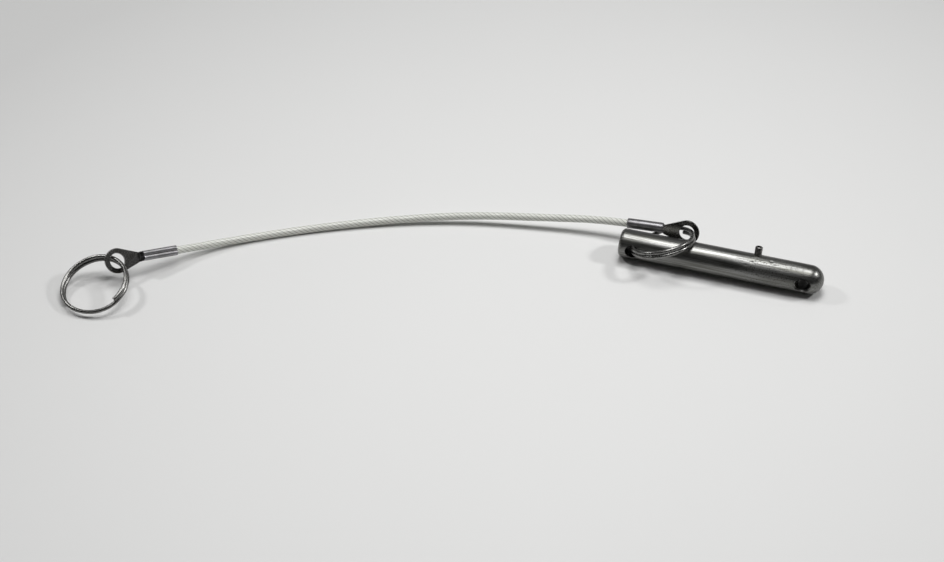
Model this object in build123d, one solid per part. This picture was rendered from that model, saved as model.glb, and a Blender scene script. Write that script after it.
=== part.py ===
from build123d import *
import os
from math import acos, asin, atan2, cos, degrees, pi, radians, sin, sqrt, tan

# Shank: a turned steel pin, domed at the nose and chamfered at the head end
shank_dia = 9.525
shank_length = 66.7
head_chamfer = 0.8
pin_roll_deg = 8.0

# Cross hole near the head end, which both coils of the split ring pass through
head_hole_from_head = 4.7
head_hole_clearance = 0.2

# Countersunk cross hole in the nose, for a keeper
nose_hole_dia = 4.0
nose_hole_from_tip = 6.3
nose_countersink_dia = 6.0

# Slotted spring pin, driven into a blind radial hole as a stop
spring_pin_dia = 2.4
spring_pin_wall = 0.45
spring_pin_slot = 0.5
spring_pin_slot_deg = 215.0
spring_pin_stand = 2.9
spring_pin_depth = 5.5
spring_pin_from_head = 44.6
spring_pin_turn_deg = 12.0
spring_pin_chamfer = 0.2

# Split rings, each a little over one and a half turns of round wire
ring_wire_dia = 1.3
head_ring_dia = 21.4
head_ring_coil_gap = 0.08
head_ring_single_deg = 104.0
head_ring_single_span_deg = 86.0
head_ring_skew_deg = 7.5
head_ring_seat_gap = 0.3
anchor_ring_dia = 22.6
anchor_ring_coil_gap = 0.2
anchor_ring_single_deg = -139.0
anchor_ring_single_span_deg = 100.0
anchor_ring_eye_deg = 7.0
anchor_ring_heading_deg = 59.5

# Crimp terminals, folded from sheet: a flat eye tab and a B-shaped barrel
sheet_thickness = 0.8
eye_rim = 1.6
eye_slack = 0.85
eye_clearance = 0.3
neck_width = 3.2
barrel_from_eye = 8.2
barrel_length = 11.8
barrel_lobe_share = 0.55
barrel_corner_share = 0.5
barrel_sink_share = 1 / 3
barrel_ramp = 0.5

# Lanyard: a wire rope in a clear jacket, stripped inside the barrels
rope_dia = 1.6
jacket_dia = 2.5
rope_in_barrel = 10.8
rope_clearance = 0.01

# How the pin-end terminal hangs on the head ring
pin_eye_on_ring_deg = 47.0
pin_wire_in_eye_deg = 135.0
pin_eye_slack_share = 0.6
pin_end_heading_deg = 1.0
pin_end_drop_deg = 3.5
pin_end_lean_deg = 20.0

# How the free-end terminal lies, given by the mouth of its barrel
free_mouth_back = 170.6
free_mouth_aside = 46.2
free_mouth_height = 4.4
free_wire_in_eye_deg = -65.0
free_eye_slack_share = 0.2
free_end_heading_deg = 46.0
free_end_rise_deg = 11.5
free_end_tilt_deg = 46.0

# Route of the lanyard between the two mouths: a straight lead at each end, and between them points
# measured back from the middle of the shank, across from it, and up
pin_lead = 9.5
free_lead = 9.0
route_back = [60.0, 84.0, 108.0, 132.0, 152.0]
route_across = [5.3, 0.75, -7.35, -18.6, -30.3]
route_height = [4.25, 3.05, 1.85, 1.35, 1.4]
bend_run_share = 0.45

# Cuts run past the faces that they open by this much
cut_overrun = 1.0

shank_radius = shank_dia / 2
wire_radius = ring_wire_dia / 2
head_half_pitch = (ring_wire_dia + head_ring_coil_gap) / 2
anchor_half_pitch = (ring_wire_dia + anchor_ring_coil_gap) / 2
shank_axis = Vector(-shank_length / 2, 0, shank_radius)
free_mouth = Vector(-free_mouth_back, -free_mouth_aside, free_mouth_height)
lanyard_points = [Vector(-x, y, z) for x, y, z in zip(route_back, route_across, route_height)]
up = Vector(0, 0, 1)

# The eye passes both coils with room to hang, and the barrel is one sheet folded round the rope
eye_hole_dia = ring_wire_dia + 2 * (head_half_pitch + eye_clearance + eye_slack)
eye_tab_dia = eye_hole_dia + 2 * eye_rim
barrel_width = rope_dia + 2 * sheet_thickness
barrel_height = barrel_width - sheet_thickness * barrel_sink_share
barrel_lobe_radius = barrel_width / 2 * barrel_lobe_share
barrel_corner_radius = barrel_width / 2 * barrel_corner_share

# The head hole clears the skewed ring where it curves most, at the mouths
head_ring_radius = (head_ring_dia - ring_wire_dia) / 2
anchor_ring_radius = (anchor_ring_dia - ring_wire_dia) / 2
sag_in_hole = head_ring_radius - sqrt(head_ring_radius**2 - shank_radius**2)
coil_at_mouth = head_half_pitch + shank_radius * sin(radians(head_ring_skew_deg))
head_hole_radius = sqrt(coil_at_mouth**2 + (sag_in_hole / 2) ** 2) + wire_radius + head_hole_clearance


def heading(level_deg, rise_deg):
    level = radians(level_deg)
    rise = radians(rise_deg)
    return Vector(cos(level) * cos(rise), sin(level) * cos(rise), sin(rise))


def square_to(vector, direction):
    return (vector - direction * vector.dot(direction)).normalized()


# The shank's own frame: X along the pin from its head end, Y along the cross holes, turned as the pin lies
shank_plane = Plane(shank_axis, x_dir=(1, 0, 0), z_dir=up.rotate(Axis.X, -pin_roll_deg))
cross_axis = shank_plane.y_dir


def cross_cylinder(along, radius):
    """A round bar right through the shank, square to its axis."""
    length = shank_dia + 2 * cut_overrun
    return Pos(along, 0, 0) * Rot(90, 0, 0) * Cylinder(radius, length)


def countersink(along, radius, mouth_radius, side):
    """A 90 degree cone that widens a cross hole at the shank's surface."""
    depth = mouth_radius - radius
    tall = depth + cut_overrun
    cone = Cone(radius, mouth_radius + cut_overrun, tall)
    return Pos(along, side * (shank_radius - depth + tall / 2), 0) * Rot(-90 * side, 0, 0) * cone


def pin_shank():
    dome_start = shank_length - shank_radius
    dome_middle = (dome_start + shank_radius * sin(radians(45)), shank_radius * cos(radians(45)))
    outline = (
        Line((0, 0), (0, shank_radius - head_chamfer))
        + Line((0, shank_radius - head_chamfer), (head_chamfer, shank_radius))
        + Line((head_chamfer, shank_radius), (dome_start, shank_radius))
        + ThreePointArc((dome_start, shank_radius), dome_middle, (shank_length, 0))
        + Line((shank_length, 0), (0, 0))
    )
    bar = revolve(make_face(outline), Axis.X)
    bar -= cross_cylinder(head_hole_from_head, head_hole_radius)
    nose_hole_at = shank_length - nose_hole_from_tip
    bar -= cross_cylinder(nose_hole_at, nose_hole_dia / 2)
    for side in (1, -1):
        bar -= countersink(nose_hole_at, nose_hole_dia / 2, nose_countersink_dia / 2, side)
    socket_height = spring_pin_depth + cut_overrun
    socket_middle = shank_radius - spring_pin_depth + socket_height / 2
    socket = Pos(spring_pin_from_head, 0, socket_middle) * Cylinder(spring_pin_dia / 2, socket_height)
    bar -= Rot(-spring_pin_turn_deg, 0, 0) * socket
    return shank_plane.location * bar


def spring_pin():
    """A rolled tube with an open slot along it and chamfered ends."""
    length = spring_pin_depth + spring_pin_stand
    tube = Cylinder(spring_pin_dia / 2, length)
    tube = chamfer(tube.edges().filter_by(GeomType.CIRCLE), spring_pin_chamfer)
    tube -= Cylinder(spring_pin_dia / 2 - spring_pin_wall, length + 2 * cut_overrun)
    slot = Pos(spring_pin_dia / 2, 0, 0) * Box(spring_pin_dia, spring_pin_slot, length + 2 * cut_overrun)
    tube -= Rot(0, 0, spring_pin_slot_deg) * slot
    middle = shank_radius + spring_pin_stand - length / 2
    tube = Rot(-spring_pin_turn_deg, 0, 0) * Pos(spring_pin_from_head, 0, middle) * tube
    return shank_plane.location * tube


def split_ring(plane, radius, half_pitch, single_deg, span_deg):
    """Two flat coils of wire, joined by a smooth pair of arcs that cross over along the single stretch."""
    coil_deg = 360 - span_deg
    first_deg = single_deg + span_deg / 2
    crossing_radius = sqrt(radius**2 + half_pitch**2)
    upper = Pos(0, 0, half_pitch) * CenterArc((0, 0), radius, first_deg, coil_deg)
    lower = Pos(0, 0, -half_pitch) * CenterArc((0, 0), radius, first_deg, coil_deg)
    single = radians(single_deg)
    middle = Vector(crossing_radius * cos(single), crossing_radius * sin(single), 0)
    going_in = Edge.make_tangent_arc(upper @ 1, upper % 1, middle)
    going_out = Edge.make_tangent_arc(middle, going_in % 1, lower @ 0)
    path = Wire([upper.edge(), going_in, going_out, lower.edge()])
    section = Plane(path @ 0, z_dir=path % 0) * Circle(wire_radius)
    return plane.location * sweep(section, path)


def ring_point(plane, radius, angle_deg):
    """The point between the two coils at an angle round a ring, and the way that the wire runs there."""
    angle = radians(angle_deg)
    outward = plane.x_dir * cos(angle) + plane.y_dir * sin(angle)
    along = plane.y_dir * cos(angle) - plane.x_dir * sin(angle)
    return plane.origin + outward * radius, along


def head_ring_plane():
    """The ring hangs through the head hole and leans over the shank until its far side rests on top."""
    rise = shank_radius + wire_radius + head_ring_seat_gap
    span = 2 * head_ring_radius
    lean = asin(rise / sqrt(span**2 + head_half_pitch**2)) + atan2(head_half_pitch, span)
    reach = shank_plane.x_dir * cos(lean) + shank_plane.z_dir * sin(lean)
    skew = radians(head_ring_skew_deg)
    across = square_to(cross_axis * cos(skew) - shank_plane.z_dir * sin(skew), reach)
    hole = shank_axis + shank_plane.x_dir * head_hole_from_head
    centre = hole + reach * (head_ring_radius - sag_in_hole / 2)
    return Plane(centre, x_dir=reach, z_dir=reach.cross(across)), hole


def barrel_axis_height():
    return barrel_height / 2 - sheet_thickness / 2


def crimp_terminal(plane):
    """Eye at the plane's origin, barrel along its X, lobes and seam towards its Z."""
    bottom = -sheet_thickness / 2
    top = bottom + barrel_height
    half_width = barrel_width / 2
    barrel_end = barrel_from_eye + barrel_length
    disc = Circle(eye_tab_dia / 2)
    neck_start = barrel_from_eye - barrel_ramp
    neck = Pos(neck_start, 0) * Rectangle(barrel_ramp, neck_width)
    tab = make_hull([*disc.edges(), *neck.edges()]) - Circle(eye_hole_dia / 2)
    tab = extrude(Pos(0, 0, bottom) * tab, sheet_thickness)

    corner_y = half_width - barrel_corner_radius
    corner_z = bottom + barrel_corner_radius
    lobe_y = half_width - barrel_lobe_radius
    lobe_z = top - barrel_lobe_radius
    lobe_deg = 180 - degrees(acos(lobe_y / barrel_lobe_radius))
    right = (
        Line((0, bottom), (corner_y, bottom))
        + CenterArc((corner_y, corner_z), barrel_corner_radius, -90, 90)
        + Line((half_width, corner_z), (half_width, lobe_z))
        + CenterArc((lobe_y, lobe_z), barrel_lobe_radius, 0, lobe_deg)
    )
    left = mirror(right, Plane.YZ)
    outline = make_face(right + left)
    bore = Pos(0, barrel_axis_height()) * Circle(rope_dia / 2 + rope_clearance)
    across = Plane((neck_start, 0, 0), x_dir=(0, 1, 0), z_dir=(1, 0, 0))
    barrel = extrude(across * (outline - bore), barrel_end - neck_start)

    # The folded walls rise from the flat neck to the full barrel on a slant
    ramp = make_face(
        Polyline(
            (neck_start - cut_overrun, sheet_thickness / 2),
            (neck_start, sheet_thickness / 2),
            (neck_start + 2 * barrel_ramp, top + cut_overrun),
            (neck_start - cut_overrun, top + cut_overrun),
            close=True,
        )
    )
    barrel -= extrude(Plane.XZ * ramp, barrel_width, both=True)
    return plane.location * (tab + barrel)


def wire_in_eye(to_barrel, lobes, angle_deg, slack_share):
    """How far the ring lies from the middle of an eye, as it hangs there."""
    angle = radians(angle_deg)
    return (to_barrel * cos(angle) + lobes.cross(to_barrel) * sin(angle)) * eye_slack * slack_share


def pin_end_plane(wire):
    to_barrel = heading(180 + pin_end_heading_deg, -pin_end_drop_deg)
    lean = radians(pin_end_lean_deg)
    lobes = square_to(Vector(0, cos(lean), -sin(lean)), to_barrel)
    eye = wire - wire_in_eye(to_barrel, lobes, pin_wire_in_eye_deg, pin_eye_slack_share)
    return Plane(eye, x_dir=to_barrel, z_dir=lobes)


def free_end_plane():
    to_barrel = heading(free_end_heading_deg, -free_end_rise_deg)
    level = square_to(up, to_barrel)
    lobes = level.rotate(Axis((0, 0, 0), to_barrel), free_end_tilt_deg)
    reach = to_barrel * (barrel_from_eye + barrel_length)
    eye = free_mouth - reach - lobes * barrel_axis_height()
    wire = eye + wire_in_eye(to_barrel, lobes, free_wire_in_eye_deg, free_eye_slack_share)
    return Plane(eye, x_dir=to_barrel, z_dir=lobes), wire


def barrel_mouth(plane):
    reach = plane.x_dir * (barrel_from_eye + barrel_length)
    return plane.origin + reach + plane.z_dir * barrel_axis_height()


def anchor_ring_plane(wire):
    """The ring hangs in the free eye and lies with its low side on the surface."""
    eye_angle = radians(anchor_ring_eye_deg)
    climb = wire.Z - anchor_half_pitch - wire_radius
    tilt_deg = degrees(asin(climb / (anchor_ring_radius * (1 + cos(eye_angle)))))
    uphill = heading(anchor_ring_heading_deg, tilt_deg)
    normal = square_to(up, uphill)
    out_to_eye = uphill * cos(eye_angle) + normal.cross(uphill) * sin(eye_angle)
    return Plane(wire - out_to_eye * anchor_ring_radius, x_dir=uphill, z_dir=normal)


def bend_radii(points):
    """Each bend is as large as its two runs allow."""
    radii = []
    for before, corner, after in zip(points, points[1:], points[2:]):
        run_in = corner - before
        run_out = after - corner
        half_turn = radians(run_in.get_angle(run_out)) / 2
        radii.append(bend_run_share * min(run_in.length, run_out.length) / tan(half_turn))
    return radii


def tube(points, radii, outer_radius, inner_radius=0):
    path = FilletPolyline(*points, radius=radii)
    plane = Plane(path @ 0, z_dir=path % 0)
    section = plane * Circle(outer_radius)
    if inner_radius > 0:
        section -= plane * Circle(inner_radius)
    return sweep(section, path), path


ring_plane, head_hole = head_ring_plane()
pin_wire = ring_point(ring_plane, head_ring_radius, pin_eye_on_ring_deg)[0]
pin_end = pin_end_plane(pin_wire)
free_end, free_wire = free_end_plane()
anchor_plane = anchor_ring_plane(free_wire)
pin_mouth = barrel_mouth(pin_end)

lead_out = pin_mouth + pin_end.x_dir * pin_lead
lead_in = free_mouth + free_end.x_dir * free_lead
route = [pin_mouth, lead_out, *lanyard_points, lead_in, free_mouth]
radii = bend_radii(route)
rope_route = list(route)
rope_route[0] = pin_mouth - pin_end.x_dir * rope_in_barrel
rope_route[-1] = free_mouth - free_end.x_dir * rope_in_barrel
jacket, jacket_path = tube(route, radii, jacket_dia / 2, rope_dia / 2 + rope_clearance)
rope, rope_path = tube(rope_route, radii, rope_dia / 2)

nodes = {
    "pin_shank": pin_shank(),
    "spring_pin": spring_pin(),
    "head_split_ring": split_ring(
        ring_plane, head_ring_radius, head_half_pitch, head_ring_single_deg, head_ring_single_span_deg
    ),
    "pin_end_terminal": crimp_terminal(pin_end),
    "lanyard_rope": rope,
    "lanyard_jacket": jacket,
    "free_end_terminal": crimp_terminal(free_end),
    "anchor_split_ring": split_ring(
        anchor_plane, anchor_ring_radius, anchor_half_pitch, anchor_ring_single_deg, anchor_ring_single_span_deg
    ),
}

os.makedirs("parts", exist_ok=True)
for name, solid in nodes.items():
    export_step(solid, f"parts/{name}.step")


def show(label, vector):
    print(label, [round(value, 4) for value in vector])


# Facts of the model: hinge axes, the lanyard's bends and how its volume agrees with its length
free_wire_axis = ring_point(anchor_plane, anchor_ring_radius, anchor_ring_eye_deg)[1]
print("head hole radius", round(head_hole_radius, 3), "eye hole", round(eye_hole_dia, 3))
show("head hole", head_hole)
show("cross axis", cross_axis)
show("pin eye", pin_end.origin)
show("pin wire", pin_wire)
show("pin eye axis", pin_end.z_dir)
show("free eye", free_end.origin)
show("free wire", free_wire)
show("free wire axis", free_wire_axis)
show("anchor ring centre", anchor_plane.origin)
show("anchor ring normal", anchor_plane.z_dir)
print("bend radii", [round(value, 1) for value in radii])
print("runs", [round((b - a).length, 1) for a, b in zip(route, route[1:])])
for point in route:
    show("route", point)
jacket_section = pi * ((jacket_dia / 2) ** 2 - (rope_dia / 2 + rope_clearance) ** 2)
print("lanyard length", round(jacket_path.length, 2), "rope length", round(rope_path.length, 2))
print("jacket volume share", round(jacket.volume / (jacket_section * jacket_path.length), 5))
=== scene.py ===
import bpy
import numpy as np
from mathutils import Matrix


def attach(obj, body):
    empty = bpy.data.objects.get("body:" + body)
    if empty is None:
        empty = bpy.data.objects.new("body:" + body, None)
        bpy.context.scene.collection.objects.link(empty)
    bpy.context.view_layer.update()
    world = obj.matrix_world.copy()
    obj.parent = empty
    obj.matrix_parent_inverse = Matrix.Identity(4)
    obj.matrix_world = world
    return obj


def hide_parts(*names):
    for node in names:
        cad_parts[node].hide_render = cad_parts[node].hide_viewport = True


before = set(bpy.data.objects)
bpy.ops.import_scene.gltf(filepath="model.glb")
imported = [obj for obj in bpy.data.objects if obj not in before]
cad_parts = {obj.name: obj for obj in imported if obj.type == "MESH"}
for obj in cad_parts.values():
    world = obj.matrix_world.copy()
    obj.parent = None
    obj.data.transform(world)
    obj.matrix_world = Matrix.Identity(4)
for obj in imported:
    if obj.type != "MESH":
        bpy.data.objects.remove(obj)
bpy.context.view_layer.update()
mm = 0.001
fullTurn = 2 * np.pi
print("frame loaded:", len(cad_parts), "nodes")


# meshes: small helpers that skin, place and cut
def ringQuads(rows, cols):
    # quads of a grid that closes on itself round its columns
    r, c = np.meshgrid(np.arange(rows - 1), np.arange(cols), indexing="ij")
    n = (c + 1) % cols
    return np.stack([r * cols + c, r * cols + n, (r + 1) * cols + n, (r + 1) * cols + c], -1).reshape(-1, 4)


def ringUvs(rows, cols):
    # one u, v for each corner of those quads: u runs along the piece and v round it
    r, c = np.meshgrid(np.arange(rows - 1), np.arange(cols), indexing="ij")
    u = np.stack([r, r, r + 1, r + 1], -1) / (rows - 1)
    v = np.stack([c, c + 1, c + 1, c], -1) / cols
    return np.stack([u, v], -1).reshape(-1, 2)


def skinMesh(name, sectionSets):
    # each set is (rows, columns, 3): quads between neighbouring sections and one flat face on each end
    points, faces, uvs, start = [], [], [], 0
    for sections in sectionSets:
        rows, cols = sections.shape[:2]
        ends = np.arange(cols)
        points.append(sections.reshape(-1, 3))
        faces += (ringQuads(rows, cols) + start).tolist()
        faces += [(ends[::-1] + start).tolist(), (ends + start + (rows - 1) * cols).tolist()]
        uvs += [ringUvs(rows, cols), np.zeros((cols, 2)), np.ones((cols, 2))]
        start += rows * cols
    mesh = bpy.data.meshes.new(name)
    mesh.from_pydata(np.concatenate(points).tolist(), [], faces)
    mesh.uv_layers.new(name="along").data.foreach_set("uv", np.concatenate(uvs).ravel().astype(np.float32))
    return mesh


def addPiece(mesh, body, node, material, sharpDeg=38.0):
    mesh.polygons.foreach_set("use_smooth", np.ones(len(mesh.polygons), bool))
    mesh.set_sharp_from_angle(angle=np.radians(sharpDeg))
    piece = bpy.data.objects.new(mesh.name, mesh)
    bpy.context.scene.collection.objects.link(piece)
    mesh.materials.clear()
    mesh.materials.append(material)
    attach(piece, body)
    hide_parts(node)
    return piece


def cutMesh(mesh, cutter):
    # takes the cutter's volume out of the mesh and gives back a plain mesh
    blank = bpy.data.objects.new("blank", mesh)
    tool = bpy.data.objects.new("tool", cutter)
    for item in (blank, tool):
        bpy.context.scene.collection.objects.link(item)
    cut = blank.modifiers.new("cut", "BOOLEAN")
    cut.operation = "DIFFERENCE"
    cut.solver = "EXACT"
    cut.object = tool
    bpy.context.view_layer.update()
    result = bpy.data.meshes.new_from_object(blank.evaluated_get(bpy.context.evaluated_depsgraph_get()))
    result.name = mesh.name + "Cut"
    for item in (blank, tool):
        bpy.data.objects.remove(item)
    return result


def unit(vectors):
    return vectors / np.linalg.norm(vectors, axis=-1, keepdims=True)


def roundAngles(count):
    return np.linspace(0, fullTurn, count, endpoint=False)


def angleApart(angle, other):
    # shortest way round from one angle to the other, between -pi and pi
    return np.mod(angle - other + np.pi, fullTurn) - np.pi


def roundSections(path, radius, reference, sides):
    # circle carried along a path: point = path + radius (cos a * side + sin a * over),
    # where side = tangent x reference and over = tangent x side
    path = np.asarray(path, float)
    tangent = unit(np.gradient(path, axis=0))
    side = unit(np.cross(tangent, reference))
    over = np.cross(tangent, side)
    angle = roundAngles(sides)[None, :, None]
    radius = np.broadcast_to(radius, len(path))[:, None, None]
    return path[:, None] + radius * (np.cos(angle) * side[:, None] + np.sin(angle) * over[:, None])


def placed(local, plane):
    # local x, y, z in millimetres on a plane's own axes, given in metres
    axes = np.array([plane["x"], plane["y"], plane["z"]])
    return np.asarray(plane["origin"]) + (np.asarray(local, float) * mm) @ axes


def smooth(value, low, high):
    # 0 below low, 1 above high, and t^2 (3 - 2 t) between
    t = np.clip((value - low) / (high - low), 0, 1)
    return t * t * (3 - 2 * t)


# materials: small helpers that add and join nodes
def newMaterial(name, metal=0.0):
    material = bpy.data.materials.new(name)
    material.use_nodes = True
    tree = material.node_tree
    shader = tree.nodes["Principled BSDF"]
    shader.inputs["Metallic"].default_value = metal
    return material, tree, shader


def addNode(tree, kind, settings=None, **values):
    node = tree.nodes.new(kind)
    for key, value in (settings or {}).items():
        setattr(node, key, value)
    for key, value in values.items():
        node.inputs[key].default_value = value
    return node


def splitOf(tree, vector):
    split = addNode(tree, "ShaderNodeSeparateXYZ")
    tree.links.new(vector, split.inputs["Vector"])
    return tuple(split.outputs)


def objectPoint(tree, scale=(1, 1, 1), shift=(0, 0, 0)):
    coord = addNode(tree, "ShaderNodeTexCoord")
    mapping = addNode(tree, "ShaderNodeMapping", Scale=scale, Location=shift)
    tree.links.new(coord.outputs["Object"], mapping.inputs["Vector"])
    return mapping.outputs["Vector"]


def uvPoint(tree):
    # the piece's own map: u along it, v round it
    coord = addNode(tree, "ShaderNodeUVMap", {"uv_map": "along"})
    return splitOf(tree, coord.outputs["UV"])[:2]


def noiseAt(tree, scale, detail=3.0, roughness=0.55):
    # scale: waves in a metre, the same all ways or one number for each axis
    scale = scale if isinstance(scale, tuple) else (scale, scale, scale)
    noise = addNode(tree, "ShaderNodeTexNoise", Scale=1.0, Detail=detail, Roughness=roughness)
    tree.links.new(objectPoint(tree, scale), noise.inputs["Vector"])
    return noise.outputs["Fac"]


def ramp(tree, factor, stops):
    # stops: position and a grey level or a colour
    node = addNode(tree, "ShaderNodeValToRGB")
    elements = node.color_ramp.elements
    while len(elements) < len(stops):
        elements.new(0.5)
    for element, (position, colour) in zip(elements, stops):
        element.position = position
        element.color = (*colour, 1) if isinstance(colour, tuple) else (colour, colour, colour, 1)
    tree.links.new(factor, node.inputs["Fac"])
    return node.outputs["Color"]


def mathOf(tree, operation, first, second=0.0):
    node = addNode(tree, "ShaderNodeMath", {"operation": operation})
    for socket, value in zip(node.inputs, (first, second)):
        if hasattr(value, "links"):
            tree.links.new(value, socket)
        else:
            socket.default_value = value
    return node.outputs["Value"]


def halfWave(tree, phase):
    # (sin(phase) + 1) / 2
    wave = mathOf(tree, "SINE", phase)
    return mathOf(tree, "ADD", mathOf(tree, "MULTIPLY", wave, 0.5), 0.5)


def bumpInto(tree, shader, height, strength, distance):
    bump = addNode(tree, "ShaderNodeBump", Strength=strength, Distance=distance)
    tree.links.new(height, bump.inputs["Height"])
    tree.links.new(bump.outputs["Normal"], shader.inputs["Normal"])


# finishes: "tone" and "rough" are stops of a ramp, each a level and the colour or roughness there;
# noises are given in waves to the metre

# ground steel of the shank: streaks along it, dull and pitted over the used length, with painted shade in
# its holes
pinSteel = {
    "tone": [(0.36, (0.105, 0.105, 0.094)), (0.60, (0.215, 0.215, 0.210))],
    # near-black painted shade inside the holes, and the dark colour the pits go to
    "bore": (0.02, 0.019, 0.017),
    "rough": [(0.35, 0.28), (0.70, 0.38)],
    "streaks": (60, 2400, 2400),
    "streakRelief": 0.30,
    "scuffs": (90, 1500, 1500),
    # share of the length from the head end, and how worn the pin is there
    "usedStretch": [(0.54, 0.0), (0.66, 1.0), (0.84, 1.0), (0.93, 0.0)],
    "usedRough": 0.05,
    "pits": 1900,
    "pitEdge": [(0.57, 0.0), (0.66, 1.0)],
    "pitsUsed": 0.85,
    "pitsElsewhere": 0.12,
    "pitDark": 0.75,
    "relief": 0.45,
    "reliefDepth": 0.00008,
    # metres: the axis, and the radius and the two ends past which a point is not inside a hole
    "axisHeight": 0.0047625,
    "skinFrom": 0.0042,
    "faceUpTo": -0.0331,
    "noseFrom": 0.02985,
    "lengthsPerMetre": 15.0,
}


def groundSteel():
    material, tree, shader = newMaterial("groundSteel", metal=1.0)
    streaks = noiseAt(tree, pinSteel["streaks"], detail=4.0)
    colour = ramp(tree, streaks, pinSteel["tone"])
    x, y, z = splitOf(tree, objectPoint(tree))
    # radius = sqrt(y^2 + (z - axis)^2)
    away = mathOf(tree, "SUBTRACT", z, pinSteel["axisHeight"])
    squares = mathOf(tree, "ADD", mathOf(tree, "POWER", away, 2.0), mathOf(tree, "POWER", y, 2.0))
    onSkin = mathOf(tree, "GREATER_THAN", mathOf(tree, "SQRT", squares), pinSteel["skinFrom"])
    onFace = mathOf(tree, "LESS_THAN", x, pinSteel["faceUpTo"])
    onNose = mathOf(tree, "GREATER_THAN", x, pinSteel["noseFrom"])
    # painted shade: lit is 0 inside the holes, where the colour goes to the near-black shade colour
    lit = mathOf(tree, "MAXIMUM", onSkin, mathOf(tree, "MAXIMUM", onFace, onNose))
    # share of the pin's length, 0 at the head end and 1 at the nose
    alongPin = mathOf(tree, "ADD", mathOf(tree, "MULTIPLY", x, pinSteel["lengthsPerMetre"]), 0.5)
    used = ramp(tree, alongPin, pinSteel["usedStretch"])
    scuffs = noiseAt(tree, pinSteel["scuffs"], roughness=0.5)
    base = ramp(tree, scuffs, pinSteel["rough"])
    worn = mathOf(tree, "MULTIPLY", used, pinSteel["usedRough"])
    tree.links.new(mathOf(tree, "ADD", base, worn), shader.inputs["Roughness"])
    pits = ramp(tree, noiseAt(tree, pinSteel["pits"], detail=2.0), pinSteel["pitEdge"])
    usedPits = mathOf(tree, "MULTIPLY", used, pinSteel["pitsUsed"])
    pitted = mathOf(tree, "MULTIPLY", pits, mathOf(tree, "ADD", usedPits, pinSteel["pitsElsewhere"]))
    clean = mathOf(tree, "SUBTRACT", 1.0, mathOf(tree, "MULTIPLY", pitted, pinSteel["pitDark"]))
    mix = addNode(tree, "ShaderNodeMix", {"data_type": "RGBA"})
    mix.inputs["A"].default_value = (*pinSteel["bore"], 1)
    tree.links.new(colour, mix.inputs["B"])
    tree.links.new(mathOf(tree, "MULTIPLY", lit, clean), mix.inputs["Factor"])
    tree.links.new(mix.outputs["Result"], shader.inputs["Base Color"])
    height = mathOf(tree, "SUBTRACT", mathOf(tree, "MULTIPLY", streaks, pinSteel["streakRelief"]), pitted)
    bumpInto(tree, shader, height, pinSteel["relief"], pinSteel["reliefDepth"])
    return material


# bright drawn wire of the split rings: dark handling marks and a fine grain
ringSteel = {
    "tone": [(0.30, (0.095, 0.093, 0.088)), (0.52, (0.215, 0.213, 0.206))],
    "rough": [(0.3, 0.20), (0.75, 0.36)],
    "marks": 700,
    "grain": 3000,
    "relief": 0.06,
    "reliefDepth": 0.00004,
}


def drawnWire():
    material, tree, shader = newMaterial("drawnWire", metal=1.0)
    marks = noiseAt(tree, ringSteel["marks"], detail=4.0)
    tree.links.new(ramp(tree, marks, ringSteel["tone"]), shader.inputs["Base Color"])
    grain = noiseAt(tree, ringSteel["grain"])
    tree.links.new(ramp(tree, grain, ringSteel["rough"]), shader.inputs["Roughness"])
    bumpInto(tree, shader, grain, ringSteel["relief"], ringSteel["reliefDepth"])
    return material


# pressed sheet of the terminals: a tab darkened as painted shade, and a paler, duller barrel where it was
# crimped, its paleness a painted sheen
sheetSteel = {
    # the tab's dark tone is painted shade and the barrel's pale tone is a painted sheen
    "tabShadeTone": [(0.32, (0.10, 0.098, 0.090)), (0.66, (0.16, 0.158, 0.155))],
    "barrelSheenTone": [(0.32, (0.19, 0.186, 0.188)), (0.66, (0.31, 0.305, 0.318))],
    "rough": [(0.3, 0.22), (0.7, 0.30)],
    "crimpRough": 0.12,
    # u at which the tab ends and the barrel begins
    "crimpEdge": [(0.56, 0.0), (0.66, 1.0)],
    "stains": 420,
    "grain": 2400,
    "relief": 0.08,
    "reliefDepth": 0.00005,
}


def pressedSheet():
    material, tree, shader = newMaterial("pressedSheet", metal=1.0)
    onBarrel = ramp(tree, uvPoint(tree)[0], sheetSteel["crimpEdge"])
    stains = noiseAt(tree, sheetSteel["stains"], detail=5.0)
    # painted light: the tab takes the painted-shade tone and the barrel the painted-sheen tone
    mix = addNode(tree, "ShaderNodeMix", {"data_type": "RGBA"})
    tree.links.new(onBarrel, mix.inputs["Factor"])
    tree.links.new(ramp(tree, stains, sheetSteel["tabShadeTone"]), mix.inputs["A"])
    tree.links.new(ramp(tree, stains, sheetSteel["barrelSheenTone"]), mix.inputs["B"])
    tree.links.new(mix.outputs["Result"], shader.inputs["Base Color"])
    grain = noiseAt(tree, sheetSteel["grain"], detail=4.0)
    rough = ramp(tree, grain, sheetSteel["rough"])
    dull = mathOf(tree, "MULTIPLY", onBarrel, sheetSteel["crimpRough"])
    tree.links.new(mathOf(tree, "ADD", rough, dull), shader.inputs["Roughness"])
    bumpInto(tree, shader, grain, sheetSteel["relief"], sheetSteel["reliefDepth"])
    return material


# dark spring steel of the slotted pin, duller where it is stained
springSteel = {
    "tone": [(0.35, (0.08, 0.077, 0.072)), (0.65, (0.30, 0.295, 0.285))],
    "rough": [(0.3, 0.43), (0.7, 0.28)],
    "stains": 1300,
    "relief": 0.05,
    "reliefDepth": 0.00005,
}


def oiledSpring():
    material, tree, shader = newMaterial("oiledSpring", metal=1.0)
    stains = noiseAt(tree, springSteel["stains"], detail=4.0)
    tree.links.new(ramp(tree, stains, springSteel["tone"]), shader.inputs["Base Color"])
    tree.links.new(ramp(tree, stains, springSteel["rough"]), shader.inputs["Roughness"])
    bumpInto(tree, shader, stains, springSteel["relief"], springSteel["reliefDepth"])
    return material


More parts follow.
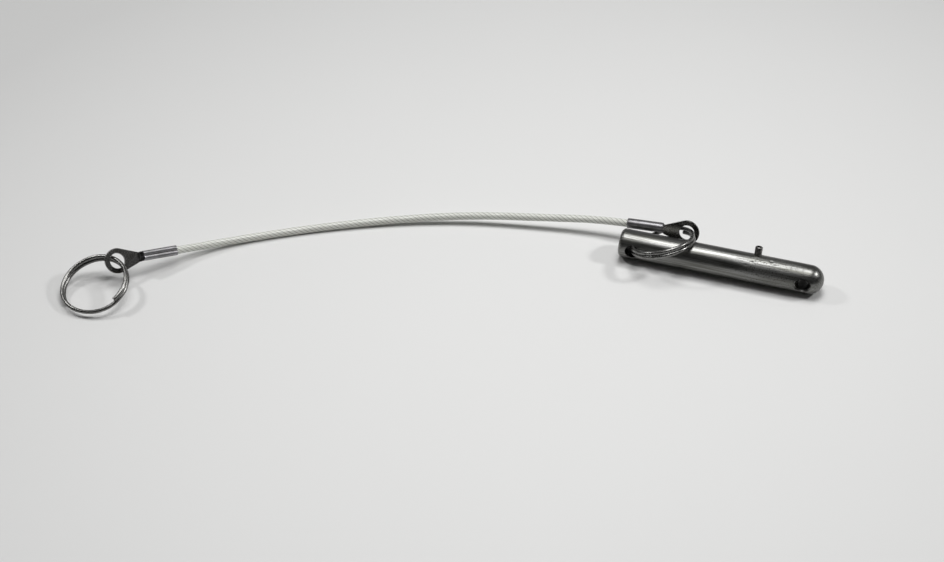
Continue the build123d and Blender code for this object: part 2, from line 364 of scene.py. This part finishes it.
# zinc-coated rope wire: the wires of a strand show as fine slanting grooves on its u, v, with painted shade
# in the grooves
ropeWire = {
    "tone": [(0.0, (0.34, 0.34, 0.32)), (0.45, (0.78, 0.78, 0.75))],
    "roughness": 0.40,
    "metal": 0.35,
    "wiresRound": 6.0,
    "wireTwists": 46.0,
    "relief": 0.5,
    "reliefDepth": 0.00008,
}


def strandWire():
    material, tree, shader = newMaterial("strandWire", metal=ropeWire["metal"])
    shader.inputs["Roughness"].default_value = ropeWire["roughness"]
    u, v = uvPoint(tree)
    along = mathOf(tree, "MULTIPLY", u, ropeWire["wireTwists"] * fullTurn)
    around = mathOf(tree, "MULTIPLY", v, ropeWire["wiresRound"] * fullTurn)
    height = halfWave(tree, mathOf(tree, "ADD", along, around))
    # painted shade: the colour darkens in the grooves between the wires
    tree.links.new(ramp(tree, height, ropeWire["tone"]), shader.inputs["Base Color"])
    bumpInto(tree, shader, height, ropeWire["relief"], ropeWire["reliefDepth"])
    return material


# clear jacket: its round wall spreads the strands over its whole width, so their lay is painted on its u, v
# as a painted refraction, with painted shade between the strands
jacketVinyl = {
    "tone": [(0.14, (0.43, 0.435, 0.395)), (0.46, (0.78, 0.79, 0.735))],
    "rough": [(0.4, 0.08), (0.7, 0.22)],
    "ior": 1.5,
    "cover": 0.80,
    "strands": 6.0,
    "turns": 14.8,
    "haze": 500,
    "hazeShare": 0.25,
    "relief": 0.04,
    "reliefDepth": 0.00008,
}


def clearVinyl():
    material, tree, shader = newMaterial("clearVinyl")
    shader.inputs["Alpha"].default_value = jacketVinyl["cover"]
    shader.inputs["IOR"].default_value = jacketVinyl["ior"]
    u, v = uvPoint(tree)
    perTurn = jacketVinyl["strands"] * fullTurn
    along = mathOf(tree, "MULTIPLY", u, jacketVinyl["turns"] * perTurn)
    around = mathOf(tree, "MULTIPLY", v, perTurn)
    lay = halfWave(tree, mathOf(tree, "SUBTRACT", along, around))
    haze = noiseAt(tree, jacketVinyl["haze"], detail=4.0)
    seen = mathOf(tree, "ADD", lay, mathOf(tree, "MULTIPLY", haze, jacketVinyl["hazeShare"]))
    # painted refraction: the strands' image is pale, with painted shade between them
    tree.links.new(ramp(tree, seen, jacketVinyl["tone"]), shader.inputs["Base Color"])
    tree.links.new(ramp(tree, haze, jacketVinyl["rough"]), shader.inputs["Roughness"])
    bumpInto(tree, shader, haze, jacketVinyl["relief"], jacketVinyl["reliefDepth"])
    return material


finishes = {
    "ground": groundSteel(),
    "wire": drawnWire(),
    "sheet": pressedSheet(),
    "spring": oiledSpring(),
    "strand": strandWire(),
    "vinyl": clearVinyl(),
}
print("finishes made:", len(finishes))


# lanyard: route control points repeated from the solids, in metres; other lengths in millimetres
lanyard = {
    "route": [
        (-0.033189, 0.0083457, 0.0060606),
        (-0.0426698, 0.0081802, 0.0054806),
        (-0.060, 0.0053, 0.00425),
        (-0.084, 0.00075, 0.00305),
        (-0.108, -0.00735, 0.00185),
        (-0.132, -0.0186, 0.00135),
        (-0.152, -0.0303, 0.0014),
        (-0.1644736, -0.0398559, 0.0026057),
        (-0.1706, -0.0462, 0.0044),
    ],
    "order": 3,
    "curveSteps": 48,
    "steps": 900,
    "jacketDia": 2.5,
    "jacketSides": 40,
    # swell, radians to the millimetre and start of each slow unevenness
    "uneven": [(0.012, 0.41, 0.0), (0.008, 1.13, 1.0)],
    "nick": {"fromEnd": 9.2, "reach": 0.35, "angle": 4.2, "spread": 0.55, "depth": 0.16},
    "ropeDia": 1.6,
    "strands": 6,
    "layLength": 10.2,
    "stepsPerMm": 5.0,
    # share of a strand's radius, and sides
    "core": (0.98, 10),
    "strand": (0.99, 12),
}


def lanyardLine(route):
    # smooth line with the route's points as control points
    curve = bpy.data.curves.new("lanyardLine", "CURVE")
    curve.dimensions = "3D"
    curve.resolution_u = lanyard["curveSteps"]
    spline = curve.splines.new("NURBS")
    spline.points.add(len(route) - 1)
    spline.points.foreach_set("co", np.c_[route, np.ones(len(route))].ravel())
    spline.order_u = lanyard["order"]
    spline.use_endpoint_u = True
    holder = bpy.data.objects.new("lanyardLine", curve)
    bpy.context.scene.collection.objects.link(holder)
    bpy.context.view_layer.update()
    drawn = bpy.data.meshes.new_from_object(holder.evaluated_get(bpy.context.evaluated_depsgraph_get()))
    points = np.empty(len(drawn.vertices) * 3)
    drawn.vertices.foreach_get("co", points)
    bpy.data.objects.remove(holder)
    bpy.data.meshes.remove(drawn)
    return points.reshape(-1, 3)


def evenSteps(points, count):
    # the same line in equal steps of its own length
    reach = np.concatenate([[0], np.cumsum(np.linalg.norm(np.diff(points, axis=0), axis=1))])
    at = np.linspace(0, reach[-1], count)
    return np.stack([np.interp(at, reach, points[:, k]) for k in range(3)], -1), reach[-1]


linePoints, lineLength = evenSteps(lanyardLine(lanyard["route"]), lanyard["steps"])
upward = np.array([0.0, 0.0, 1.0])


def jacketMesh():
    # tube round the line: radius = r + sum of swell * sin(waves * s + start);
    # at a nick near the free barrel the wall moves in by
    # depth * exp(-(s / reach)^2) * exp(-(angle / spread)^2)
    nick, sides = lanyard["nick"], lanyard["jacketSides"]
    along = np.linspace(0, lineLength, len(linePoints)) / mm
    radius = sum((swell * np.sin(along * waves + start) for swell, waves, start in lanyard["uneven"]),
                 lanyard["jacketDia"] / 2)
    sections = roundSections(linePoints, radius * mm, upward, sides)
    near = np.exp(-((along - (lineLength / mm - nick["fromEnd"])) / nick["reach"]) ** 2)[:, None]
    facing = np.exp(-(angleApart(roundAngles(sides), nick["angle"]) / nick["spread"]) ** 2)[None]
    inward = linePoints[:, None] - sections
    return skinMesh("lanyardJacket", [sections + inward * (nick["depth"] * near * facing)[..., None]])


def ropeMesh():
    # six strands wound round a straight one, three across, so a strand's radius r is a sixth of the rope:
    # offset = 2 r (cos t * side + sin t * over), t = 2 pi s / lay
    strandRadius = lanyard["ropeDia"] / 6
    count = int(lineLength / mm * lanyard["stepsPerMm"])
    line, length = evenSteps(linePoints, count)
    tangent = unit(np.gradient(line, axis=0))
    side = unit(np.cross(tangent, upward))
    over = np.cross(tangent, side)
    turn = fullTurn * np.linspace(0, length / mm, count) / lanyard["layLength"]
    coreShare, coreSides = lanyard["core"]
    strandShare, strandSides = lanyard["strand"]
    sets = [roundSections(line, strandRadius * coreShare * mm, upward, coreSides)]
    for strand in range(lanyard["strands"]):
        t = (turn + fullTurn * strand / lanyard["strands"])[:, None]
        offset = 2 * strandRadius * mm * (np.cos(t) * side + np.sin(t) * over)
        sets.append(roundSections(line + offset, strandRadius * strandShare * mm, upward, strandSides))
    return skinMesh("lanyardRope", sets)


jacket = addPiece(jacketMesh(), "lanyard", "lanyard_jacket", finishes["vinyl"])
rope = addPiece(ropeMesh(), "lanyard", "lanyard_rope", finishes["strand"], sharpDeg=60.0)
print("lanyard length mm:", round(lineLength / mm, 2))


# shank: millimetres from the head end, on the rolled axes of the pin
shank = {
    "plane": {
        "origin": (-0.03335, 0.0, 0.0047625),
        "x": (1.0, 0.0, 0.0),
        "y": (0.0, 0.990268, -0.139173),
        "z": (0.0, 0.139173, 0.990268),
    },
    "radius": 4.7625,
    "length": 66.7,
    "chamfer": 0.8,
    "edge": 0.12,
    "faceRim": 1.2,
    "wallFrom": 0.5,
    "wallSteps": 190,
    "domeSteps": 70,
    "domeTo": 0.4985,
    "sides": 176,
    "leastRadius": 0.01,
    "headHole": {"at": 4.7, "radius": 2.2924, "flare": 0.12},
    "noseHole": {"at": 60.4, "radius": 2.0, "flare": 1.0},
    "holeSides": 96,
    "socket": {"at": 44.6, "radius": 1.2, "depth": 5.5, "turnDeg": 12.0},
    "socketSides": 64,
    "cutPast": 1.0,
    "line": {"at": 39.5, "depth": 0.02, "width": 0.12},
    "dings": [
        # from head, degrees round, depth, length, width
        (43.4, 123.0, 0.15, 0.50, 0.32),
        (49.3, 105.0, 0.20, 0.46, 0.36),
        (41.6, 140.0, 0.07, 0.7, 0.25),
        (50.9, 116.0, 0.14, 0.42, 0.32),
        (53.5, 131.0, 0.025, 0.8, 0.22),
        (46.7, 141.0, 0.03, 0.4, 0.4),
        (56.2, 101.0, 0.025, 0.6, 0.25),
        (33.0, 160.0, 0.02, 1.0, 0.2),
        (20.5, 118.0, 0.02, 0.9, 0.2),
        (57.5, 158.0, 0.03, 0.5, 0.3),
    ],
}


def shankProfile():
    # x and r along the outline: face edge, chamfer with broken corners, straight wall, then
    # the dome: x = start + R sin a, r = R cos a
    radius, chamfer, edge = shank["radius"], shank["chamfer"], shank["edge"]
    rim, domeStart = radius - chamfer, shank["length"] - radius
    corners = np.array([
        (0, rim - shank["faceRim"]),
        (0, rim - edge),
        (edge * 0.5, rim + edge * 0.4),
        (chamfer - edge * 0.7, radius - edge * 0.7),
        (chamfer + edge * 0.7, radius - edge * 0.1),
    ])
    wall = np.linspace(chamfer + shank["wallFrom"], domeStart, shank["wallSteps"])
    dome = np.linspace(0.0, shank["domeTo"], shank["domeSteps"])[1:] * np.pi
    x = np.concatenate([corners[:, 0], wall, domeStart + radius * np.sin(dome)])
    r = np.concatenate([corners[:, 1], np.full(len(wall), radius), radius * np.cos(dome)])
    return x, r


def shankMesh():
    # the outline turned about the pin's axis, less a faint turned line and a scatter of small dings:
    # depth = deep * exp(-(x / length)^2 - (way round / width)^2)
    x, r = shankProfile()
    angle = roundAngles(shank["sides"])
    line = shank["line"]
    depth = line["depth"] * np.exp(-((x - line["at"]) / line["width"]) ** 2)[:, None]
    depth = depth + np.zeros((1, len(angle)))
    for at, degrees, deep, long, wide in shank["dings"]:
        apart = angleApart(angle, np.radians(degrees)) * shank["radius"]
        depth = depth + deep * np.exp(-((x[:, None] - at) / long) ** 2 - (apart[None] / wide) ** 2)
    radius = np.maximum(r[:, None] - depth, shank["leastRadius"])
    across = np.broadcast_to(x[:, None], radius.shape)
    local = np.stack([across, radius * np.cos(angle), radius * np.sin(angle)], -1)
    return skinMesh("pinShank", [placed(local, shank["plane"])])


def holeCutter(hole):
    # round bar across the pin that widens at 45 degrees where it comes out
    out = shank["radius"] + shank["cutPast"]
    start = shank["radius"] - hole["flare"]
    across = np.array([-out, -start, start, out])
    radius = hole["radius"] + np.maximum(np.abs(across) - start, 0)
    angle = roundAngles(shank["holeSides"])
    x = hole["at"] + radius[:, None] * np.sin(angle)
    z = radius[:, None] * np.cos(angle)
    return placed(np.stack([x, np.broadcast_to(across[:, None], x.shape), z], -1), shank["plane"])


def turnedAbout(local, degrees):
    # turns points about the pin's axis, from its upward side towards its far side
    c, s = np.cos(np.radians(degrees)), np.sin(np.radians(degrees))
    x, y, z = local[..., 0], local[..., 1], local[..., 2]
    return np.stack([x, y * c + z * s, z * c - y * s], -1)


def socketCutter(socket):
    # round bar from the bottom of the blind hole to past the skin
    height = np.array([shank["radius"] - socket["depth"], shank["radius"] + shank["cutPast"]])
    angle = roundAngles(shank["socketSides"])
    x = socket["at"] + socket["radius"] * np.cos(angle)[None] + np.zeros((2, 1))
    y = socket["radius"] * np.sin(angle)[None] + np.zeros((2, 1))
    local = np.stack([x, y, np.broadcast_to(height[:, None], x.shape)], -1)
    return placed(turnedAbout(local, socket["turnDeg"]), shank["plane"])


holes = [holeCutter(shank["headHole"]), holeCutter(shank["noseHole"]), socketCutter(shank["socket"])]
drilled = cutMesh(shankMesh(), skinMesh("pinHoles", holes))
pin = addPiece(drilled, "pin", "pin_shank", finishes["ground"], sharpDeg=28.0)
pin.data.name = pin.name = "pinShank"
print("shank faces:", len(pin.data.polygons))


# spring pin: a slotted tube pressed into the shank's socket and standing out of it
springPin = {
    "wall": 0.45,
    "slot": 0.5,
    "slotDeg": 215.0,
    "top": 2.9,
    "chamfer": 0.2,
    "boreFlare": 0.35,
    "arcSteps": 72,
}


def springPinMesh():
    # C-shaped outline, outer arc out and inner arc back, carried up the hole and drawn in at both ends
    socket, steps, gap = shank["socket"], springPin["arcSteps"], springPin["slot"] / 2
    turn = np.linspace(0, 1, steps)
    low, high = shank["radius"] - socket["depth"], shank["radius"] + springPin["top"]
    chamfer = springPin["chamfer"]
    levels = [
        # height and how far the outside is drawn in, with a rounded edge on top
        (low, chamfer),
        (low + chamfer, 0),
        (high - chamfer * 1.2, 0),
        (high - chamfer * 0.35, chamfer * 0.45),
        (high, chamfer),
    ]
    rows = []
    for height, inset in levels:
        outer = socket["radius"] - inset
        inner = socket["radius"] - springPin["wall"] + inset * springPin["boreFlare"]
        outerArc = np.arcsin(gap / outer) + turn * (fullTurn - 2 * np.arcsin(gap / outer))
        innerArc = np.arcsin(gap / inner) + turn[::-1] * (fullTurn - 2 * np.arcsin(gap / inner))
        angle = np.concatenate([outerArc, innerArc]) + np.radians(springPin["slotDeg"])
        radius = np.repeat([outer, inner], steps)
        x = socket["at"] + radius * np.cos(angle)
        rows.append(np.stack([x, radius * np.sin(angle), np.full(2 * steps, height)], -1))
    local = turnedAbout(np.array(rows), socket["turnDeg"])
    return skinMesh("springPin", [placed(local, shank["plane"])])


addPiece(springPinMesh(), "pin", "spring_pin", finishes["spring"], sharpDeg=30.0)
print("spring pin made")


# split rings: two flat coils that cross over along the single stretch
ringWire = {
    "radius": 0.65,
    "stepDeg": 1.5,
    "sides": 28,
    # length of a broken end, steps over it and the share of the radius at each
    "endBreak": 0.14,
    "endSteps": (0.0, 0.4, 1.0),
    "endShares": (0.80, 0.95, 1.0),
}
splitRings = {
    "headSplitRing": {
        "node": "head_split_ring",
        "body": "head_ring",
        "radius": 10.05,
        "halfPitch": 0.69,
        "singleDeg": 104.0,
        "spanDeg": 86.0,
        "plane": {
            "origin": (-0.0196867, 0.0004166, 0.0077268),
            "x": (0.948504, 0.044085, 0.313682),
            "y": (0.03925, 0.966279, -0.254486),
            "z": (-0.314323, 0.253694, 0.91479),
        },
    },
    "anchorSplitRing": {
        "node": "anchor_split_ring",
        "body": "anchor_ring",
        "radius": 10.65,
        "halfPitch": 0.75,
        "singleDeg": -139.0,
        "spanDeg": 100.0,
        "plane": {
            "origin": (-0.1887756, -0.0692882, 0.0044806),
            "x": (0.485841, 0.824794, 0.289263),
            "y": (-0.861629, 0.507538, 0.0),
            "z": (-0.146812, -0.249237, 0.95725),
        },
    },
}


def splitRingMesh(name, ring):
    # path: x = R cos a, y = R sin a, z = +h, then h cos(pi k) over the crossing, then -h;
    # a circle is carried along it and drawn in at the two cut ends
    coil = 360.0 - ring["spanDeg"]
    total = 2 * coil + ring["spanDeg"]
    run = np.linspace(0, total, int(total / ringWire["stepDeg"]))
    tiny = np.degrees(ringWire["endBreak"] / ring["radius"])
    end = tiny * np.array(ringWire["endSteps"])
    run = np.concatenate([end, run[2:-2], (total - end)[::-1]])
    angle = np.radians(ring["singleDeg"] + ring["spanDeg"] / 2 + run)
    crossing = np.clip((run - coil) / ring["spanDeg"], 0, 1)
    height = ring["halfPitch"] * np.cos(np.pi * crossing)
    path = np.stack([ring["radius"] * np.cos(angle), ring["radius"] * np.sin(angle), height], -1)
    radius = np.full(len(run), ringWire["radius"] * mm)
    radius[:3] *= ringWire["endShares"]
    radius[-3:] *= ringWire["endShares"][::-1]
    upright = np.array(ring["plane"]["z"])
    return skinMesh(name, [roundSections(placed(path, ring["plane"]), radius, upright, ringWire["sides"])])


for ringName, ring in splitRings.items():
    coiled = splitRingMesh(ringName, ring)
    addPiece(coiled, ring["body"], ring["node"], finishes["wire"], sharpDeg=45.0)
print("split rings made")


# crimp terminals: one sheet, flat round the eye and folded into a two-lobed barrel;
# millimetres from the eye
terminalShape = {
    "sheet": 0.8,
    "tabRadius": 4.09,
    "eyeRadius": 2.49,
    "eyeRim": 0.2,
    # height across the sheet, and the share of the rim there
    "eyeLevels": [(-1.5, 1), (-0.45, 1), (-0.28, 0), (0.28, 0), (0.45, 1), (1.5, 1)],
    "eyeSides": 72,
    "neckHalf": 1.6,
    "neckAt": 7.45,
    "foldStart": 7.3,
    "foldRun": 0.9,
    "seamLag": 0.6,
    "barrelEnd": 20.0,
    "endShares": (0.98, 0.93),
    "halfWidth": 1.6,
    "height": 2.9333,
    "lobe": 0.88,
    "corner": 1.5,
    "edge": 0.18,
    "edgeShare": 0.45,
    "tipHalf": 0.02,
    # points of a half outline: edge + top - 1 = lobe, so that the sheet's match the barrel's
    "points": {"flat": 8, "edge": 8, "side": 4, "top": 14, "lobe": 21},
    # stations along it: first angle and count round the tab's end, then from, to and count;
    # the barrel's run from its start to the first of the two lengths before its end
    "roundSteps": (0.02, 26),
    "tabSteps": (0, 7.0, 30),
    "foldSteps": (7.1, 9.2, 43),
    "barrelSteps": (9.6, 14),
    "beforeEnd": (0.2, 0.06),
}
terminals = {
    "pinEndTerminal": {
        "node": "pin_end_terminal",
        "plane": {
            "origin": (-0.0132341, 0.0076916, 0.0076461),
            "x": (-0.997983, -0.01742, -0.061049),
            "y": (-0.063325, 0.341334, 0.937807),
            "z": (0.004501, 0.939781, -0.341748),
        },
    },
    "freeEndTerminal": {
        "node": "free_end_terminal",
        "plane": {
            "origin": (-0.1848688, -0.0598712, 0.0076613),
            "x": (0.680713, 0.704899, -0.199368),
            "y": (-0.400072, 0.585713, 0.704899),
            "z": (0.613655, -0.400072, 0.680713),
        },
    },
}


def arcPoints(centre, radius, startDeg, endDeg, count):
    angle = np.radians(np.linspace(startDeg, endDeg, count))
    return np.stack([centre[0] + radius * np.cos(angle), centre[1] + radius * np.sin(angle)], -1)


def straightPoints(start, end, count):
    return np.asarray(start) + np.linspace(0, 1, count)[:, None] * (np.asarray(end) - np.asarray(start))


def slabHalf(halfWidth):
    # half outline of the flat sheet: from its middle underneath, round the edge, to its middle on top
    shape, points = terminalShape, terminalShape["points"]
    half, edge = shape["sheet"] / 2, min(shape["edge"], halfWidth * shape["edgeShare"])
    inner = halfWidth - edge
    return np.concatenate([
        straightPoints((0, -half), (inner, -half), points["flat"])[:-1],
        arcPoints((inner, -half + edge), edge, -90, 0, points["edge"]),
        straightPoints((halfWidth, -half + edge), (halfWidth, half - edge), points["side"])[1:-1],
        arcPoints((inner, half - edge), edge, 0, 90, points["edge"]),
        straightPoints((inner, half), (0, half), points["top"])[1:],
    ])


def barrelHalf():
    # half outline of the folded barrel: flat underneath, corner, side, then a lobe that dips to the seam
    shape, points = terminalShape, terminalShape["points"]
    bottom = -shape["sheet"] / 2
    top = bottom + shape["height"]
    cornerY, cornerZ = shape["halfWidth"] - shape["corner"], bottom + shape["corner"]
    lobeY, lobeZ = shape["halfWidth"] - shape["lobe"], top - shape["lobe"]
    lobeDeg = 180 - np.degrees(np.arccos(lobeY / shape["lobe"]))
    return np.concatenate([
        straightPoints((0, bottom), (cornerY, bottom), points["flat"])[:-1],
        arcPoints((cornerY, cornerZ), shape["corner"], -90, 0, points["edge"]),
        straightPoints((shape["halfWidth"], cornerZ), (shape["halfWidth"], lobeZ), points["side"])[1:-1],
        arcPoints((lobeY, lobeZ), shape["lobe"], 0, lobeDeg, points["lobe"]),
    ])


def tabHalfWidth(u):
    # sqrt(R^2 - u^2) round the tab, which runs out on a tangent to the neck
    radius = terminalShape["tabRadius"]
    neck = np.array([terminalShape["neckAt"], terminalShape["neckHalf"]])
    touch = np.arctan2(neck[1], neck[0]) + np.arccos(radius / np.linalg.norm(neck))
    at = radius * np.array([np.cos(touch), np.sin(touch)])
    slope = at[1] + (u - at[0]) * (neck[1] - at[1]) / (neck[0] - at[0])
    disc = np.sqrt(np.maximum(radius**2 - u**2, terminalShape["tipHalf"] ** 2))
    return np.where(u < at[0], disc, np.maximum(slope, neck[1]))


def terminalMesh(name, plane):
    # section at u = flat sheet * (1 - fold) + folded barrel * fold;
    # the fold lags towards the seam, so the walls rise before it closes
    shape = terminalShape
    roundFrom, roundCount = shape["roundSteps"]
    barrelFrom, barrelCount = shape["barrelSteps"]
    near, nearest = (shape["barrelEnd"] - before for before in shape["beforeEnd"])
    u = np.concatenate([
        -shape["tabRadius"] * np.cos(np.linspace(roundFrom, np.pi / 2, roundCount)),
        np.linspace(*shape["tabSteps"])[1:],
        np.linspace(*shape["foldSteps"]),
        np.linspace(barrelFrom, near, barrelCount),
        [nearest, shape["barrelEnd"]],
    ])
    flat = np.array([slabHalf(width) for width in tabHalfWidth(u)])
    folded = np.broadcast_to(barrelHalf(), flat.shape)
    lag = shape["seamLag"] * np.linspace(0, 1, flat.shape[1])[None] ** 2
    fold = smooth(u[:, None] - lag, shape["foldStart"], shape["foldStart"] + shape["foldRun"])[..., None]
    half = flat * (1 - fold) + folded * fold
    centre = np.array([0, shape["height"] / 2 - shape["sheet"] / 2])
    drawIn = np.ones(len(u))
    drawIn[-2:] = shape["endShares"]
    half = centre + (half - centre) * drawIn[:, None, None]
    other = half[:, -2:0:-1] * np.array([-1, 1])
    outline = np.concatenate([half, other], 1)
    local = np.concatenate([np.broadcast_to(u[:, None, None], (*outline.shape[:2], 1)), outline], -1)
    return skinMesh(name, [placed(local, plane)])


def eyeCutter(plane):
    # punched eye with its two rims rolled over a little
    across, rim = np.array(terminalShape["eyeLevels"]).T
    radius = terminalShape["eyeRadius"] + terminalShape["eyeRim"] * rim
    angle = roundAngles(terminalShape["eyeSides"])
    x = radius[:, None] * np.cos(angle)
    y = radius[:, None] * np.sin(angle)
    local = np.stack([x, y, np.broadcast_to(across[:, None], x.shape)], -1)
    return skinMesh("eyeCutter", [placed(local, plane)])


for terminalName, terminal in terminals.items():
    punched = cutMesh(terminalMesh(terminalName, terminal["plane"]), eyeCutter(terminal["plane"]))
    node, finish = terminal["node"], finishes["sheet"]
    piece = addPiece(punched, "lanyard", node, finish, sharpDeg=34.0)
    piece.data.name = piece.name = terminalName
print("terminals made")


# pale floor, greyer away from its middle as a painted falloff of the light
floorPaper = {
    "colour": (0.745, 0.745, 0.738),
    "middle": (-0.052, -0.150),
    "reach": (0.342, 0.472),
    # how far out, and the share of the colour there
    "paintedFalloff": [(0.025, 1.0), (0.60, 0.76), (1.0, 0.74)],
    "clouds": 9,
    "cloudShare": 0.05,
    "roughness": 0.75,
    "gloss": 0.2,
    "size": 9.0,
}


def paleFloor():
    half = floorPaper["size"] / 2
    corners = [(-half, -half, 0), (half, -half, 0), (half, half, 0), (-half, half, 0)]
    mesh = bpy.data.meshes.new("floor")
    mesh.from_pydata(corners, [], [(0, 1, 2, 3)])
    material, tree, shader = newMaterial("palePaper")
    shader.inputs["Roughness"].default_value = floorPaper["roughness"]
    shader.inputs["Specular IOR Level"].default_value = floorPaper["gloss"]
    # painted falloff of the light: grey = (x / reach)^2 + (y / reach)^2 from the middle, with a little
    # cloudiness
    scale = tuple(1 / r for r in floorPaper["reach"])
    shift = tuple(-c / r for c, r in zip(floorPaper["middle"], floorPaper["reach"]))
    away = addNode(tree, "ShaderNodeVectorMath", {"operation": "LENGTH"})
    tree.links.new(objectPoint(tree, (*scale, 1), (*shift, 0)), away.inputs[0])
    cloud = mathOf(tree, "MULTIPLY", noiseAt(tree, floorPaper["clouds"]), floorPaper["cloudShare"])
    grey = mathOf(tree, "ADD", mathOf(tree, "POWER", away.outputs["Value"], 2.0), cloud)
    # painted falloff: the colour greys away from the middle as the light would fall off
    stops = [(out, tuple(c * share for c in floorPaper["colour"])) for out, share in floorPaper["paintedFalloff"]]
    tree.links.new(ramp(tree, grey, stops), shader.inputs["Base Color"])
    mesh.materials.append(material)
    floor = bpy.data.objects.new("floor", mesh)
    bpy.context.scene.collection.objects.link(floor)


# lamps: soft light from above, a weak panel in front of it and a lamp on each side;
# the sky is wide and even, so that the floor does not fall off into the dark
middle = (-0.07, -0.02, 0.0)
lamps = {
    "overhead": {
        "place": (-0.035, 0.08, 0.49),
        "target": (-0.035, 0.0, 0.0),
        "size": (0.20, 0.28),
        "power": 0.90,
    },
    "sky": {
        "place": (-0.035, 0.08, 0.49),
        "target": (-0.035, 0.0, 0.0),
        "spreadDeg": 30.0,
        "power": 0.80,
    },
    "frontPanel": {
        "place": (-0.05, -0.10, 0.50),
        "target": (-0.05, 0.0, 0.0),
        "size": (0.16, 0.15),
        "power": 0.18,
    },
    "leftLamp": {
        "place": (-0.56, 0.02, 0.50),
        "target": middle,
        "size": (0.08, 0.08),
        "power": 0.94,
    },
    "rightLamp": {
        "place": (0.52, 0.20, 0.52),
        "target": middle,
        "size": (0.09, 0.09),
        "power": 1.98,
    },
}


def setUp(holder, right, up, back, place):
    # puts a lamp or the camera in the scene: the columns of its matrix are its right, up, back and place
    columns = np.stack([right, up, back], 1)
    holder.matrix_world = Matrix([[*row, p] for row, p in zip(columns, place)] + [[0, 0, 0, 1]])
    bpy.context.scene.collection.objects.link(holder)


def hangLamp(name, settings):
    wide = "spreadDeg" in settings
    lamp = bpy.data.lights.new(name, "SUN" if wide else "AREA")
    lamp.energy = settings["power"]
    if wide:
        lamp.angle = np.radians(settings["spreadDeg"])
    else:
        lamp.shape = "RECTANGLE"
        lamp.size, lamp.size_y = settings["size"]
    back = unit(np.asarray(settings["place"], float) - np.asarray(settings["target"], float))
    right = unit(np.cross((0.0, 1.0, 0.0), back))
    setUp(bpy.data.objects.new(name, lamp), right, np.cross(back, right), back, settings["place"])


# dim room round the floor, brighter behind the part: share of the way to the back, and the light there
room = {"light": [(0.35, 0.045), (0.85, 0.20)]}


def dimRoom():
    world = bpy.data.worlds.new("room")
    bpy.context.scene.world = world
    world.use_nodes = True
    tree = world.node_tree
    coord = addNode(tree, "ShaderNodeTexCoord")
    # share = y / 2 + 1 / 2
    y = splitOf(tree, coord.outputs["Generated"])[1]
    share = mathOf(tree, "ADD", mathOf(tree, "MULTIPLY", y, 0.5), 0.5)
    tree.links.new(ramp(tree, share, room["light"]), tree.nodes["Background"].inputs["Color"])


paleFloor()
for lampName, settings in lamps.items():
    hangLamp(lampName, settings)
dimRoom()


# camera at the photograph's place
viewpoint = {
    "place": (0.065686, -0.486173, 0.432224),
    "right": (0.955623, 0.294591, 0.0),
    "up": (-0.19712, 0.639437, 0.743145),
    "back": (0.218924, -0.710167, 0.669131),
    "focalPixels": 2000.0,
    "imageWidth": 944.0,
    "sensorMm": 36.0,
    "nearest": 0.01,
}
lens = bpy.data.cameras.new("camera")
lens.sensor_fit = "HORIZONTAL"
lens.sensor_width = viewpoint["sensorMm"]
lens.lens = viewpoint["focalPixels"] * viewpoint["sensorMm"] / viewpoint["imageWidth"]
lens.clip_start = viewpoint["nearest"]
camera = bpy.data.objects.new("camera", lens)
setUp(camera, viewpoint["right"], viewpoint["up"], viewpoint["back"], viewpoint["place"])
bpy.context.scene.camera = camera
bpy.context.scene.view_settings.view_transform = "Standard"
print("stage and camera set")

bpy.context.view_layer.update()
